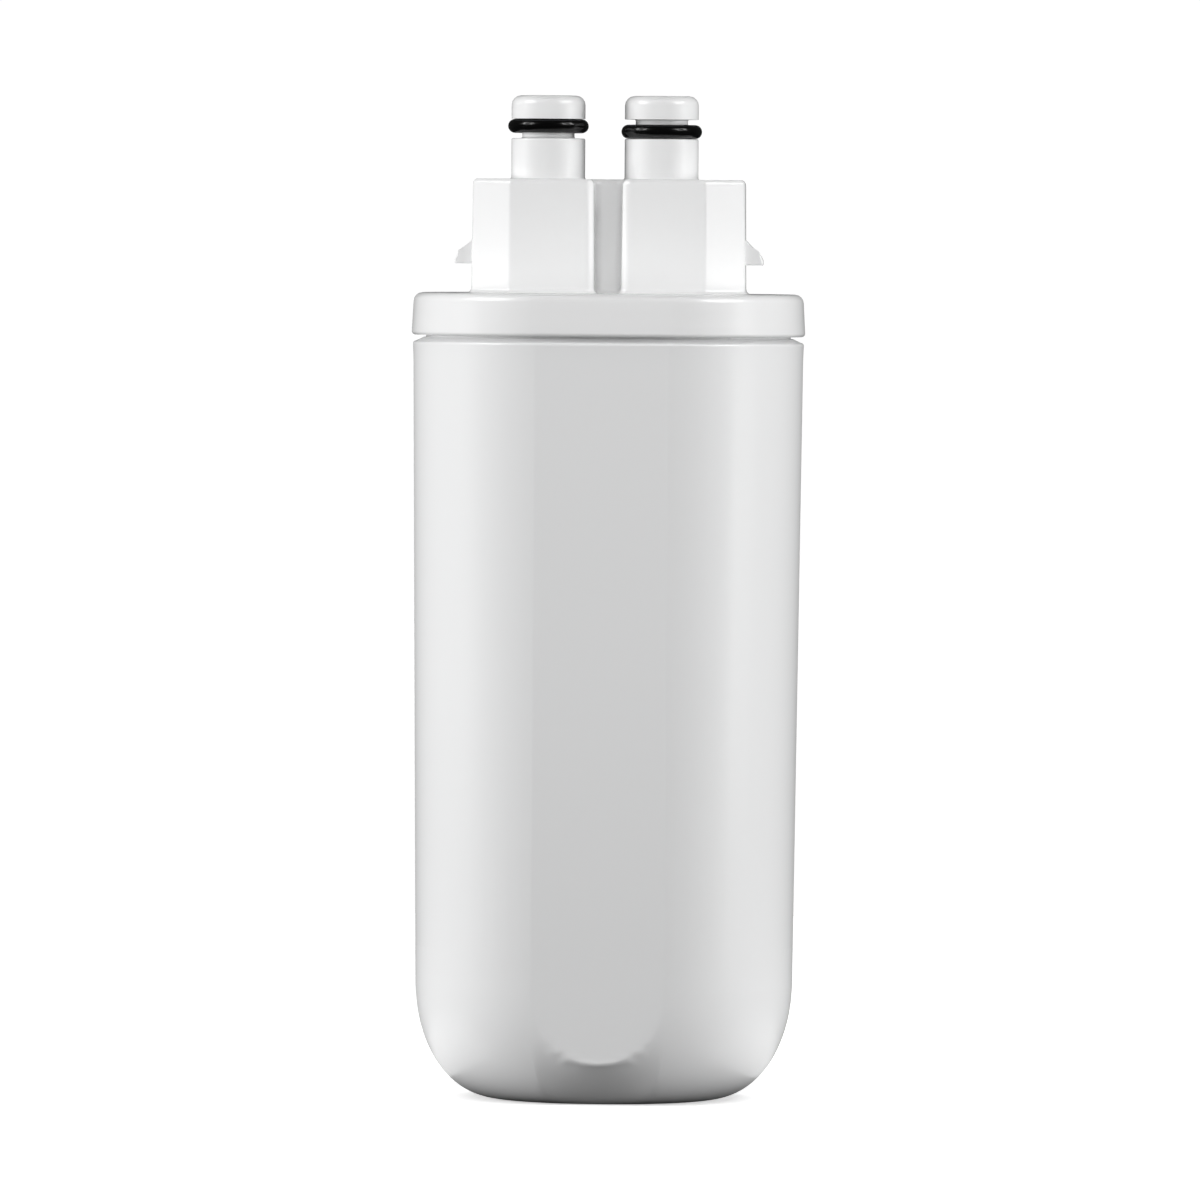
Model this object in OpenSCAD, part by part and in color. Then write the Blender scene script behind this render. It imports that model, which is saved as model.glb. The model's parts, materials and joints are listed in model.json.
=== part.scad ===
// Countertop water filter cartridge. All lengths are in millimetres and all angles in degrees.
// A domed cup and a cap with two port towers are welded round a carbon filter element.
// The origin is the centre of the foot, on the floor. +Z is up and the front panel faces -Y.

/* [Cup] */
// Width of the cup at its rim, without the flare
body_w = 70.1; // [68:0.1:76]
// Depth of the cup at its rim, from panel to panel
body_d = 57.4; // [55:0.1:64]
// Height of the cup, from its foot to its rim
body_h = 136.8; // [120:0.1:170]
// Radius of the four upright corners at the rim
corner_r = 27.5; // [26:0.1:28.5]
// Width of the flat panels on the front and the back
panel_w = 24.1; // [20:0.1:30]
// Draft angle of the cup's walls
wall_draft = 0.57; // [0.3:0.01:1]
// Wall of the cup below the weld ledge
wall = 3; // [2.6:0.1:3.4]
// Wall of the cup between the weld ledge and the rim
rim_wall = 2.2; // [1.8:0.1:2.5]
// How far the rim flares outwards
rim_flare = 0.2; // [0:0.05:0.4]
// Height over which the rim flares
flare_h = 4; // [2:0.5:8]

/* [Domed bottom] */
// Height at which the dome meets the side walls
dome_h = 21.5; // [18:0.5:28]
// Diameter of the flat foot
foot_d = 37.8; // [32:0.1:42]
// Fullness of the dome's curve at the sides, where 2 is an ellipse
dome_fullness = 2.1; // [1.8:0.05:2.6]
// Fullness of the dome's curve under the middle of a panel
panel_fullness = 2.6; // [2:0.05:3]
// Height at which the middle of a panel ends
panel_end_h = 7.6; // [5:0.1:10]
// How square the dome is, seen from below, where 2 is an ellipse
dome_squareness = 2.2; // [2.1:0.05:3]
// Half the height of the rounding at the middle of a panel's end
turn_soft = 1.5; // [0.8:0.1:2.5]
// Half the height of the rounding at the sides of a panel's end
flank_soft = 3; // [1.5:0.1:4]
// Half the height of the rounding along the corners
crease_soft = 1.2; // [0.3:0.1:3]

/* [Flange and weld] */
// Height of the flange
flange_h = 7.6; // [6:0.1:10]
// Gap between the lip of the cup's rim and the flange
flange_gap = 0.4; // [0.3:0.1:2]
// How far the flange stands out past the rim
flange_overhang = 0.32; // [0:0.01:1]
// Draft angle of the flange's side
flange_draft = 3; // [0:0.5:5]
// Rounding of the flange's top edge
flange_round = 1.6; // [0.4:0.1:2]
// Thickness of the deck inside the flange
deck_t = 3.4; // [2.4:0.1:5]
// Height of the welding plug below the flange
plug_h = 9.2; // [6:0.1:14]
// Wall of the welding plug
plug_wall = 2.4; // [1.6:0.1:3]
// Gap between the plug and the cup
plug_gap = 0.1; // [0.05:0.01:0.2]

/* [Port towers] */
// Height of the towers above the flange
tower_h = 20.5; // [16:0.1:28]
// Width over both towers
towers_w = 49.3; // [46:0.1:54]
// Flat left round the nipples, in front and behind, on top of the towers
tower_ledge = 0.5; // [0.4:0.1:2]
// Width of the towers' outer end faces
tower_end_w = 6.4; // [4:0.1:10]
// Distance from the middle to the outer edge of a front facet
facet_reach = 17.6; // [16:0.1:20]
// Width of the slot between the towers
slot_w = 4.8; // [3:0.1:6]
// Thickness of the web at the bottom of that slot
web_t = 6; // [3:0.1:10]
// Draft angle of the towers
tower_draft = 0.5; // [0:0.1:1]
// Rounding of the towers' top edge
tower_round = 1; // [0.3:0.1:1.1]
// How far the latch ears stand out
ear_reach = 3.1; // [2:0.1:5]
// Height of a latch ear at its root
ear_h = 4.5; // [3.8:0.1:7]
// Height of the ears' flat underside above the flange
ear_lift = 5.2; // [3:0.1:9]
// Width of a latch ear
ear_w = 5; // [3:0.1:6]

/* [Nipples] */
// Distance of the inlet nipple from the middle, to the left
inlet_x = 11.1; // [10.6:0.1:12.5]
// Distance of the outlet nipple from the middle, to the right
outlet_x = 9.3; // [9:0.1:11.5]
// Diameter of the nipples
nipple_d = 13.3; // [12:0.1:14]
// Diameter of the neck in the seal groove
neck_d = 9.4; // [8.6:0.1:10]
// Height of the shaft below the groove
shaft_h = 7.3; // [5:0.1:12]
// Height of the seal groove
groove_h = 3.5; // [3.2:0.1:4.5]
// Height of the head above the groove
head_h = 4.2; // [3.4:0.1:7]
// Rounding of the head's top edge
head_round = 1.7; // [0.6:0.1:2]
// Bore of the nipples
port_d = 5.6; // [4:0.1:6]
// Thickness of the nipples' seal rings
seal_t = 2.5; // [2.2:0.05:2.8]
// Gap between a seal ring and what it rests on
seal_gap = 0.05; // [0.02:0.01:0.1]

/* [Outlet socket] */
// Bore of the socket that takes the element's spigot
socket_d = 11; // [10:0.1:12]
// Wall of the socket's tube
socket_wall = 2; // [1.4:0.1:2.6]
// Depth of the socket
socket_depth = 16; // [14:0.1:17]
// Gap between the tube's mouth and the element
socket_gap = 2; // [1:0.1:4]
// Gap between the spigot and the socket's bore
spigot_gap = 0.2; // [0.1:0.01:0.4]
// Thickness of the spigot's seal ring
spigot_seal_t = 1.6; // [1.2:0.05:1.8]
// Diameter of the inlet chamber in the left tower
chamber_d = 11; // [8:0.1:12]
// Thickness of plastic above the chamber and the pockets
tower_roof = 2.8; // [2:0.1:5]
// Diameter of the pockets that core out the towers' outer ends
pocket_d = 5.2; // [3:0.1:5.4]
// Plastic left between those pockets and the end faces
pocket_wall = 2; // [1.6:0.1:2.2]

/* [Filter element] */
// Gap between the end caps and the cup, front and back
element_gap = 0.8; // [0.4:0.1:1.5]
// Thickness of the end caps' discs
cap_disc_t = 3; // [2:0.1:4]
// Height of the end caps' skirts
skirt_h = 3; // [2:0.1:6]
// Wall of the end caps' skirts
skirt_wall = 1.2; // [0.8:0.1:2]
// Gap between a skirt and the net inside it
skirt_gap = 0.2; // [0.1:0.05:0.5]
// Thickness of the net sleeve
net_t = 0.7; // [0.5:0.05:1]
// Gap between the net sleeve and the wrap inside it
net_gap = 0.1; // [0.05:0.05:0.3]
// Thickness of the prefilter wrap
wrap_t = 0.8; // [0.5:0.05:1.5]
// Thickness of the post-filter sleeve
fleece_t = 1.2; // [0.6:0.1:2]
// Outer diameter of the core tube
core_d = 12; // [10:0.1:13]
// Wall of the core tube
core_wall = 1.2; // [0.8:0.1:2]
// Depth of the core tube's seats in the end caps
core_seat = 1.2; // [0.6:0.1:1.6]
// Thickness of the glue beads
glue_t = 0.6; // [0.3:0.1:1]
// Height of the legs below the element
leg_h = 11.6; // [8:0.1:16]
// Thickness of the legs and fins
rib_t = 1.8; // [1.2:0.1:3]
// Gap between the fins and the cup
fin_gap = 0.3; // [0.1:0.05:0.6]
// Height of the collecting chamber on the upper end cap
plenum_h = 6; // [4.5:0.1:8]
// Wall of the collecting chamber
plenum_wall = 1.6; // [1.2:0.1:2]
// Width of the core tube's slots
core_slot_w = 2.4; // [1.2:0.1:3]
// Height of the core tube's slots
core_slot_h = 6; // [3:0.5:7]
// Number of upright strands in the net
net_strands = 10; // [6:1:10]
// Number of hoops in the net
net_hoops = 11; // [6:1:12]

/* [Hidden] */
$fn = 96;

// Facets along a corner, half a panel, the dome, the rounding above it and other roundings
corner_steps = 16;
panel_steps = 7;
dome_steps = 8;
soft_steps = 4;
round_steps = 4;
// Extra reach of a cut past the surface that it opens, and of a joint into what it joins
over = 1;
// How far a fillet runs on past the flat face that it meets
sink = 0.05;

// Cup: centre of a corner, half panel, dome and foot radius, and the levels of rim and ledge
corner_x = body_w/2 - corner_r;
panel_half = max(panel_w/2, corner_x);
corner_y = body_d/2 - sqrt(pow(corner_r, 2) - pow(panel_half - corner_x, 2));
foot_r = foot_d/2;
rim_round = 0.5;
rim_slope_h = 0.7;
rim_lead = 0.3;
wall_start = dome_h + 2*flank_soft;
// Angle from the middle of a panel to the sides of its end
flank_angle = 16;

// Cap: levels of its flange, deck, plug and towers
flange_z = body_h + flange_gap;
flange_top = flange_z + flange_h;
deck_z = flange_top - deck_t;
ledge_z = flange_z - plug_h;
tower_top = flange_top + tower_h;
flange_under_round = 0.6;
tower_inset = tower_h*tan(tower_draft);
towers_d = nipple_d + 2*(tower_ledge + tower_round + tower_inset);
tower_foot_round = 1;
tower_edge_r = 1.2;
slot_edge_r = 1.8;
ear_nose = 0.9;
ear_heel = 0.2;
ear_edge = 0.3;

// Nipples: radii and levels
nipple_r = nipple_d/2;
neck_r = neck_d/2;
port_r = port_d/2;
groove_z = tower_top + shaft_h;
head_z = groove_z + groove_h;
head_top = head_z + head_h;
nipple_foot_round = 0.4;
groove_round = 0.3;
port_lead = 0.5;

// Socket and spigot
socket_r = socket_d/2;
socket_z = ledge_z + over;
socket_end = socket_z + socket_depth;
spigot_r = socket_r - spigot_gap;
spigot_top = socket_end - over;
spigot_seal_z = (socket_z + spigot_top)/2 + over;
spigot_seal_play = 0.6;
spigot_groove_h = spigot_seal_t + spigot_seal_play;
spigot_neck_r = socket_r - spigot_seal_t;

// Filter element: radii from the cup inwards, and levels from its legs up
panel_depth = panel_at(corner_at(dome_h));
end_r = panel_depth - wall - element_gap;
net_r = end_r - skirt_wall - skirt_gap;
net_bore_r = net_r - net_t;
wrap_r = net_bore_r - net_gap;
block_r = wrap_r - wrap_t;
core_r = core_d/2;
fleece_r = core_r + fleece_t;
low_disc_z = wall + leg_h;
element_z = low_disc_z + cap_disc_t;
plenum_top = socket_z - socket_gap;
high_disc_z = plenum_top - plenum_h;
element_top = high_disc_z - cap_disc_t;
element_l = element_top - element_z;
plenum_x = outlet_x/2;
plenum_r = outlet_x/2 + core_r + plenum_wall;
core_rows = 10;

function mix(a, b, t) = a + (b - a)*t;
function ease(t) = let (u = min(max(t, 0), 1)) u*u*(3 - 2*u);

// Radius of the cup's corners at height z. The taper stops where the dome starts.
function corner_at(z) = corner_r - (body_h - max(z, dome_h))*tan(wall_draft);

// One quarter of the cup's outline, from the middle of its side to the middle of its back
function quarter(r) =
    let (arc = 90 - asin((panel_half - corner_x)/r),
         depth = corner_y + r*sin(arc))
    concat([[corner_x + r, 0]],
           [for (i = [0:corner_steps]) let (a = arc*i/corner_steps)
               [corner_x + r*cos(a), corner_y + r*sin(a)]],
           [for (i = [1:panel_steps]) [panel_half*cos(90*i/panel_steps), depth]]);

// The whole outline, seen from above and turning left, for corners of radius r
function outline(r) =
    let (q = quarter(r), last = len(q) - 1)
    concat(q,
           [for (i = [last - 1:-1:0]) [-q[i].x, q[i].y]],
           [for (i = [1:last]) [-q[i].x, -q[i].y]],
           [for (i = [last - 1:-1:1]) [q[i].x, -q[i].y]]);

function level(z, r) = [for (p = outline(r)) [p.x, p.y, z]];

// Share of its reach that a dome of fullness k has at height z. It leaves the foot flat and
// ends upright.
function swell(z, k) = pow(1 - pow(1 - min(z, dome_h)/dome_h, k), 1/k);

// Height at which a dome of fullness k has a share of its reach
function swell_height(share, k) = dome_h*(1 - pow(1 - pow(share, k), 1/k));

// Fullness of the dome towards point p of the outline
function fullness_at(p) =
    mix(panel_fullness, dome_fullness, pow(p.x/(corner_x + corner_at(dome_h)), 2));

// Reach of the dome towards point p of the outline: short under a panel and full at the sides
function reach_at(p, s) =
    let (short = foot_r + (panel_depth - foot_r)/swell(panel_end_h, panel_fullness),
         full = corner_x + corner_at(dome_h),
         q = [abs(p.x)/full, abs(p.y)/short]/norm(p))
    max(norm(p), pow(pow(q.x, dome_squareness) + pow(q.y, dome_squareness), -1/dome_squareness) - s);

// Half the height of the rounding between the dome and the wall above it
function softness(p) =
    let (turn = atan2(abs(p.x), abs(p.y))/flank_angle)
    turn < 1 ? mix(turn_soft, flank_soft, ease(turn)) : mix(flank_soft, crease_soft, ease(turn - 1));

// Points of the bottom under point p of the outline, from the foot up to the wall. The inside
// is drawn in by s.
function bottom_column(p, s) =
    let (foot = foot_r - s/2, reach = reach_at(p, s), k = fullness_at(p),
         end = swell_height((norm(p) - foot)/(reach - foot), k),
         soft = min(softness(p), end/2),
         heights = concat([for (i = [0:dome_steps]) (end - soft)*pow(i/dome_steps, 2)],
                          [for (i = [1:soft_steps]) end - soft + 2*soft*i/soft_steps]),
         below = foot + (reach - foot)*swell(end - soft, k))
    [for (i = [0:len(heights) - 1])
        let (z = heights[i],
             t = max(0, (i - dome_steps)/soft_steps),
             r = t == 0 ? foot + (reach - foot)*swell(z, k)
                        : norm(p) - (norm(p) - below)*pow(1 - t, 2))
        [p.x*r/norm(p), p.y*r/norm(p), z < dome_h ? s + z*(1 - s/dome_h) : z]];

// Columns of points turned into rings, in the order of a list of places
function rings_of(columns, places) = [for (k = places) [for (c = columns) c[k]]];

// A closed skin over rings of equal length, the first one facing down and the last one up. Each
// quad is split along its shorter diagonal.
module skin(rings) {
    n = len(rings[0]);
    last = len(rings) - 1;
    points = [for (ring = rings) each ring];
    sides = [for (j = [0:last - 1], i = [0:n - 1])
        let (a = j*n + i, b = j*n + (i + 1) % n)
        each norm(points[b + n] - points[a]) < norm(points[a + n] - points[b])
            ? [[a, a + n, b + n], [a, b + n, b]]
            : [[a, a + n, b], [a + n, b + n, b]]];
    polyhedron(points,
        concat([[for (i = [0:n - 1]) i]], sides, [[for (i = [n - 1:-1:0]) last*n + i]]),
        convexity = 6);
}

function flared(z) = corner_at(z) + rim_flare*pow(max(0, 1 - (body_h - z)/flare_h), 2);

module housing() {
    shoulder_z = body_h - rim_slope_h - rim_round;
    outside = [for (p = outline(corner_at(dome_h))) bottom_column(p, 0)];
    inside = [for (p = outline(corner_at(dome_h) - wall)) bottom_column(p, wall)];
    top = len(outside[0]) - 1;
    color([0.93, 0.94, 0.94])
        skin(concat(
            rings_of(outside, [0:top]),
            [for (z = [wall_start, (wall_start + body_h)/2, body_h - flare_h,
                       body_h - flare_h/2, shoulder_z]) level(z, flared(z))],
            [for (i = [1:round_steps]) let (a = 90*i/round_steps)
                level(shoulder_z + rim_round*sin(a),
                      flared(shoulder_z) - rim_round*(1 - cos(a)))],
            [level(body_h, corner_r - rim_wall + rim_lead),
             level(body_h - rim_lead, corner_at(body_h - rim_lead) - rim_wall),
             level(ledge_z, corner_at(ledge_z) - rim_wall),
             level(ledge_z, corner_at(ledge_z) - wall),
             level(wall_start, corner_at(wall_start) - wall)],
            rings_of(inside, [top:-2:0])));
}

// A rounded corner at v, between points a and b, of radius r, with its walls drawn in
function soft_corner(a, v, b, r, inset) =
    let (u = (a - v)/norm(a - v),
         w = (b - v)/norm(b - v),
         turn = cross(v - a, b - v) > 0 ? 1 : -1,
         half = acos(u*w)/2,
         centre = v + (u + w)/norm(u + w)*r/sin(half),
         start = atan2(u.x, -u.y))
    [for (i = [0:round_steps - 1]) let (n = start + turn*(180 - 2*half)*i/(round_steps - 1))
        centre + (turn*r - inset)*[cos(n), sin(n)]];

// Outline of both towers and the web between them, with its walls drawn in
function towers_outline(inset) =
    let (end = towers_w/2, side = tower_end_w/2, front = towers_d/2,
         slot = slot_w/2, web = web_t/2,
         half = [[end, -side], [end, side], [facet_reach, front], [slot, front],
                 [slot, web], [-slot, web], [-slot, front], [-facet_reach, front]],
         radii = [tower_edge_r, tower_edge_r, tower_edge_r, slot_edge_r,
                  tower_edge_r, tower_edge_r, slot_edge_r, tower_edge_r],
         points = concat(half, -half),
         n = len(points))
    [for (i = [0:n - 1])
        each soft_corner(points[(i + n - 1) % n], points[i], points[(i + 1) % n],
                         radii[i % len(half)], inset)];

function towers_level(z, inset) = [for (p = towers_outline(inset)) [p.x, p.y, z]];

// Both towers, with a fillet at their foot and a rounded edge under their flat top
module towers() {
    foot = tower_foot_round;
    intersection() {
        skin(concat(
            [towers_level(flange_top - over, -foot)],
            [for (i = [0:round_steps]) let (a = 90*i/round_steps)
                towers_level(flange_top - sink + foot*(1 - cos(a)), -foot*(1 - sin(a)))],
            [for (i = [0:round_steps]) let (a = 90*i/round_steps)
                towers_level(tower_top + sink - tower_round*(1 - sin(a)),
                             tower_inset + tower_round*(1 - cos(a)))]));
        translate([-towers_w, -towers_d, tower_top - 2*tower_h])
            cube([2*towers_w, 2*towers_d, 2*tower_h]);
    }
}

// A body whose section is the cup's outline: a profile of distances from the corners' centres
// and heights, turned round each corner and drawn out along the straights between them
module outlined(profile) {
    for (x = [-1, 1], y = [-1, 1])
        translate([x*corner_x, y*corner_y, 0])
            rotate([0, 0, x > 0 ? min(y, 0)*90 : 135 - y*45])
                rotate_extrude(angle = 90) polygon(profile);
    for (side = [0, 180]) {
        rotate([0, 0, side])
            translate([-corner_x, corner_y, 0])
                rotate([90, 0, 90]) linear_extrude(2*corner_x) polygon(profile);
        rotate([0, 0, side])
            translate([corner_x, corner_y, 0])
                rotate([90, 0, 0]) linear_extrude(2*corner_y) polygon(profile);
    }
}

// The flange with the deck inside it and the welding plug below it
module flange() {
    under = flange_under_round;
    edge = concat(
        [[plug_at(ledge_z), ledge_z], [plug_at(flange_z), flange_z]],
        [for (i = [0:round_steps]) let (a = 90*i/round_steps)
            [flange_at(under) - under*(1 - sin(a)), flange_z + under*(1 - cos(a))]],
        [for (i = [0:round_steps]) let (a = 90*i/round_steps)
            [flange_at(flange_h - flange_round) - flange_round*(1 - cos(a)),
             flange_top - flange_round*(1 - sin(a))]]);
    hollow = [[plug_at(deck_z) - plug_wall, deck_z], [plug_at(ledge_z) - plug_wall, ledge_z]];
    cut = [for (p = edge) [panel_at(p[0]), p[1]]];
    intersection() {
        union() {
            outlined(concat([[0, flange_top], [0, deck_z]], hollow, edge));
            translate([-corner_x, -corner_y, deck_z]) cube([2*corner_x, 2*corner_y, deck_t]);
        }
        translate([-body_w, 0, 0])
            rotate([90, 0, 90])
                linear_extrude(2*body_w)
                    polygon(concat(cut, [for (i = [len(cut) - 1:-1:0]) [-cut[i].x, cut[i].y]]));
    }
}

// Depth of a panel where the corners have radius r
function panel_at(r) = corner_y + sqrt(pow(r, 2) - pow(panel_half - corner_x, 2));
function plug_at(z) = corner_at(z) - rim_wall - plug_gap;
function flange_at(h) = corner_r + flange_overhang - h*tan(flange_draft);

// Points of a quarter turn of radius r round a centre, starting at an angle
function bend(centre, r, start, turn = 90) =
    [for (i = [0:round_steps]) let (a = start + turn*i/round_steps)
        centre + r*[cos(a), sin(a)]];

// Outside of a nipple, with its seal groove and rounded head
module nipple() {
    foot = nipple_foot_round;
    edge = groove_round;
    rotate_extrude()
        polygon(concat(
            [[0, tower_top - over], [nipple_r + foot, tower_top - over]],
            bend([nipple_r + foot, tower_top + foot - sink], foot, 270, -90),
            bend([nipple_r - edge, groove_z - edge], edge, 0),
            bend([neck_r + edge, groove_z + edge], edge, 270, -90),
            bend([neck_r + edge, head_z - edge], edge, 180, -90),
            [[nipple_r, head_z]],
            bend([nipple_r - head_round, head_top - head_round], head_round, 0),
            [[0, head_top]]));
}

// Bore of a nipple, from a level up through its head, with a lead at its mouth
module port(from) {
    translate([0, 0, from])
        cylinder(r = port_r, h = head_top + over - from);
    translate([0, 0, head_top - port_lead])
        cylinder(r1 = port_r, r2 = port_r + port_lead + over, h = port_lead + over);
}

// The points of a convex outline, drawn in by an inset
function drawn_in(points, inset) =
    let (n = len(points))
    [for (i = [0:n - 1])
        let (v = points[i],
             u = (points[(i + n - 1) % n] - v)/norm(points[(i + n - 1) % n] - v),
             w = (points[(i + 1) % n] - v)/norm(points[(i + 1) % n] - v))
        v + (u + w)/norm(u + w)*inset/sin(acos(u*w)/2)];

// A latch ear: flat below, with a ramp above, a blunt nose and its edges broken
module ear() {
    root = towers_w/2 - over;
    tip = towers_w/2 + ear_reach;
    z = flange_top + ear_lift;
    profile = [[root, z], [tip - ear_heel, z], [tip, z + ear_heel], [tip, z + ear_nose],
               [tip - 0.4*ear_nose, z + 1.8*ear_nose], [tip - ear_nose, z + 2.4*ear_nose],
               [towers_w/2, z + ear_h], [root, z + ear_h]];
    skin([for (k = [[ear_w/2, ear_edge], [ear_w/2 - ear_edge, 0],
                    [ear_edge - ear_w/2, 0], [-ear_w/2, ear_edge]])
        [for (p = drawn_in(profile, k[1])) [p.x, k[0], p.y]]]);
}

module cap() {
    color([0.95, 0.95, 0.95])
        difference() {
            union() {
                flange();
                towers();
                translate([-inlet_x, 0, 0]) nipple();
                translate([outlet_x, 0, 0]) nipple();
                ear();
                mirror([1, 0, 0]) ear();
                translate([outlet_x, 0, socket_z])
                    cylinder(r = socket_r + socket_wall, h = deck_z + over - socket_z);
            }
            translate([-inlet_x, 0, 0]) {
                port(deck_z);
                translate([0, 0, deck_z - over])
                    cylinder(d = chamber_d, h = tower_top - tower_roof - deck_z + over);
            }
            translate([outlet_x, 0, 0]) {
                port(socket_z);
                translate([0, 0, socket_z - over])
                    cylinder(r = socket_r, h = socket_depth + over);
            }
            for (side = [-1, 1])
                translate([side*(towers_w/2 - pocket_wall - pocket_d/2), 0, deck_z - over])
                    cylinder(d = pocket_d, h = tower_top - tower_roof - deck_z + over);
        }
}

// A seal ring of thickness t round a neck of radius r
module o_ring(r, t) {
    color([0.06, 0.06, 0.06])
        rotate_extrude()
            translate([r + seal_gap + t/2, 0])
                circle(d = t, $fn = 32);
}

// The inlet's ring lies at the top of its groove and the outlet's ring at the bottom
module inlet_o_ring() {
    translate([-inlet_x, 0, head_z - seal_gap - seal_t/2]) o_ring(neck_r, seal_t);
}
module outlet_o_ring() {
    translate([outlet_x, 0, groove_z + seal_gap + seal_t/2]) o_ring(neck_r, seal_t);
}
module spigot_o_ring() {
    translate([outlet_x, 0, spigot_seal_z])
        o_ring(spigot_neck_r, spigot_seal_t - 2*seal_gap);
}

// A tube that stands on level z
module tube(outer_r, inner_r, z, h) {
    translate([0, 0, z])
        difference() {
            cylinder(r = outer_r, h = h);
            translate([0, 0, -over]) cylinder(r = inner_r, h = h + 2*over);
        }
}

// Two fins that centre an end cap between the cup's side walls
module fins(reach, z, h) {
    for (side = [0, 180])
        rotate([0, 0, side])
            translate([end_r - skirt_wall/2, -rib_t/2, z])
                cube([reach - end_r + skirt_wall/2, rib_t, h]);
}

// Half the width inside the cup's bottom at height z
function inner_half_width(z) =
    let (up = min((z - wall)/(dome_h - wall), 1))
    mix(foot_r - wall/2, corner_x + corner_at(dome_h) - wall, swell(up*dome_h, dome_fullness));

module top_end_cap() {
    color([0.86, 0.87, 0.88])
        difference() {
            union() {
                translate([0, 0, element_top]) cylinder(r = end_r, h = cap_disc_t);
                tube(end_r, end_r - skirt_wall, element_top - skirt_h, skirt_h);
                fins(corner_x + corner_at(element_top - skirt_h) - wall - fin_gap,
                     element_top - skirt_h, skirt_h + cap_disc_t);
                translate([plenum_x, 0, high_disc_z - over])
                    cylinder(r = plenum_r, h = plenum_h + over);
                translate([outlet_x, 0, plenum_top - over])
                    cylinder(r = spigot_r, h = spigot_top - plenum_top + over);
            }
            translate([0, 0, element_top - over]) cylinder(r = core_r, h = core_seat + over);
            translate([0, 0, element_top])
                cylinder(r = core_r - core_wall, h = cap_disc_t + over);
            translate([plenum_x, 0, high_disc_z])
                cylinder(r = plenum_r - plenum_wall, h = plenum_h - plenum_wall);
            translate([outlet_x, 0, high_disc_z])
                cylinder(r = port_r, h = spigot_top - high_disc_z + over);
            translate([outlet_x, 0, 0])
                tube(socket_r, spigot_neck_r, spigot_seal_z - spigot_groove_h/2,
                     spigot_groove_h);
        }
}

module bottom_end_cap() {
    leg_reach = foot_r - wall/2 - over;
    color([0.86, 0.87, 0.88])
        difference() {
            union() {
                translate([0, 0, low_disc_z]) cylinder(r = end_r, h = cap_disc_t);
                tube(end_r, end_r - skirt_wall, element_z, skirt_h);
                fins(inner_half_width(low_disc_z) - fin_gap, low_disc_z, cap_disc_t + skirt_h);
                for (turn = [0, 90])
                    rotate([0, 0, turn])
                        translate([-leg_reach, -rib_t/2, wall])
                            cube([2*leg_reach, rib_t, leg_h + over]);
            }
            translate([0, 0, element_z - core_seat]) cylinder(r = core_r, h = core_seat + over);
        }
}

// The glue seals the block's end faces to the discs, round the fleece
module top_glue_bead() {
    color([0.93, 0.88, 0.72]) tube(block_r, fleece_r, element_top - glue_t, glue_t);
}
module bottom_glue_bead() {
    color([0.93, 0.88, 0.72]) tube(block_r, fleece_r, element_z, glue_t);
}

module carbon_block() {
    color([0.13, 0.13, 0.14])
        tube(block_r, fleece_r, element_z + glue_t, element_l - 2*glue_t);
}

module prefilter_wrap() {
    color([0.96, 0.96, 0.94]) tube(wrap_r, block_r, element_z, element_l);
}

// A thin sleeve with a row of windows between each two hoops
module outer_net() {
    pitch = (element_l - net_t)/(net_hoops - 1);
    window_w = 2*net_bore_r*sin(180/net_strands) - net_t;
    color([0.8, 0.86, 0.9])
        difference() {
            tube(net_r, net_bore_r, element_z, element_l);
            for (i = [0:net_hoops - 2], j = [0:net_strands - 1])
                rotate([0, 0, j*360/net_strands])
                    translate([net_bore_r - over, -window_w/2, element_z + net_t + i*pitch])
                        cube([net_t + 2*over, window_w, pitch - net_t]);
        }
}

module post_filter_sleeve() {
    color([0.98, 0.98, 0.97]) tube(fleece_r, core_r, element_z, element_l);
}

// The core tube is slotted on four sides, and each row is turned against the next
module core_tube() {
    pitch = element_l/core_rows;
    color([0.9, 0.9, 0.9])
        difference() {
            tube(core_r, core_r - core_wall, element_z - core_seat, element_l + 2*core_seat);
            for (i = [0:core_rows - 1], turn = [0, 90])
                rotate([0, 0, turn + 45*(i % 2)])
                    translate([0, 0, element_z + (i + 0.5)*pitch])
                        cube([core_d + 2*over, core_slot_w, core_slot_h], center = true);
        }
}

housing();
cap();
inlet_o_ring();
outlet_o_ring();
top_end_cap();
spigot_o_ring();
top_glue_bead();
carbon_block();
prefilter_wrap();
outer_net();
post_filter_sleeve();
core_tube();
bottom_glue_bead();
bottom_end_cap();
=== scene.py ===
"""Looks of the countertop water filter cartridge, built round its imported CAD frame.

Everything is in metres and in the CAD's own frame: +Z is up, the front panel faces -Y and the
origin is the centre of the foot, on the floor. The two welded mouldings are dressed on smooth
copies of their CAD nodes. The seal rings and the filter element inside keep their CAD nodes, with
a finish for each.
"""

from __future__ import annotations

import json
import logging
import math
from dataclasses import dataclass
from enum import Enum
from typing import Any

import bpy
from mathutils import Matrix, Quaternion, Vector

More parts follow.
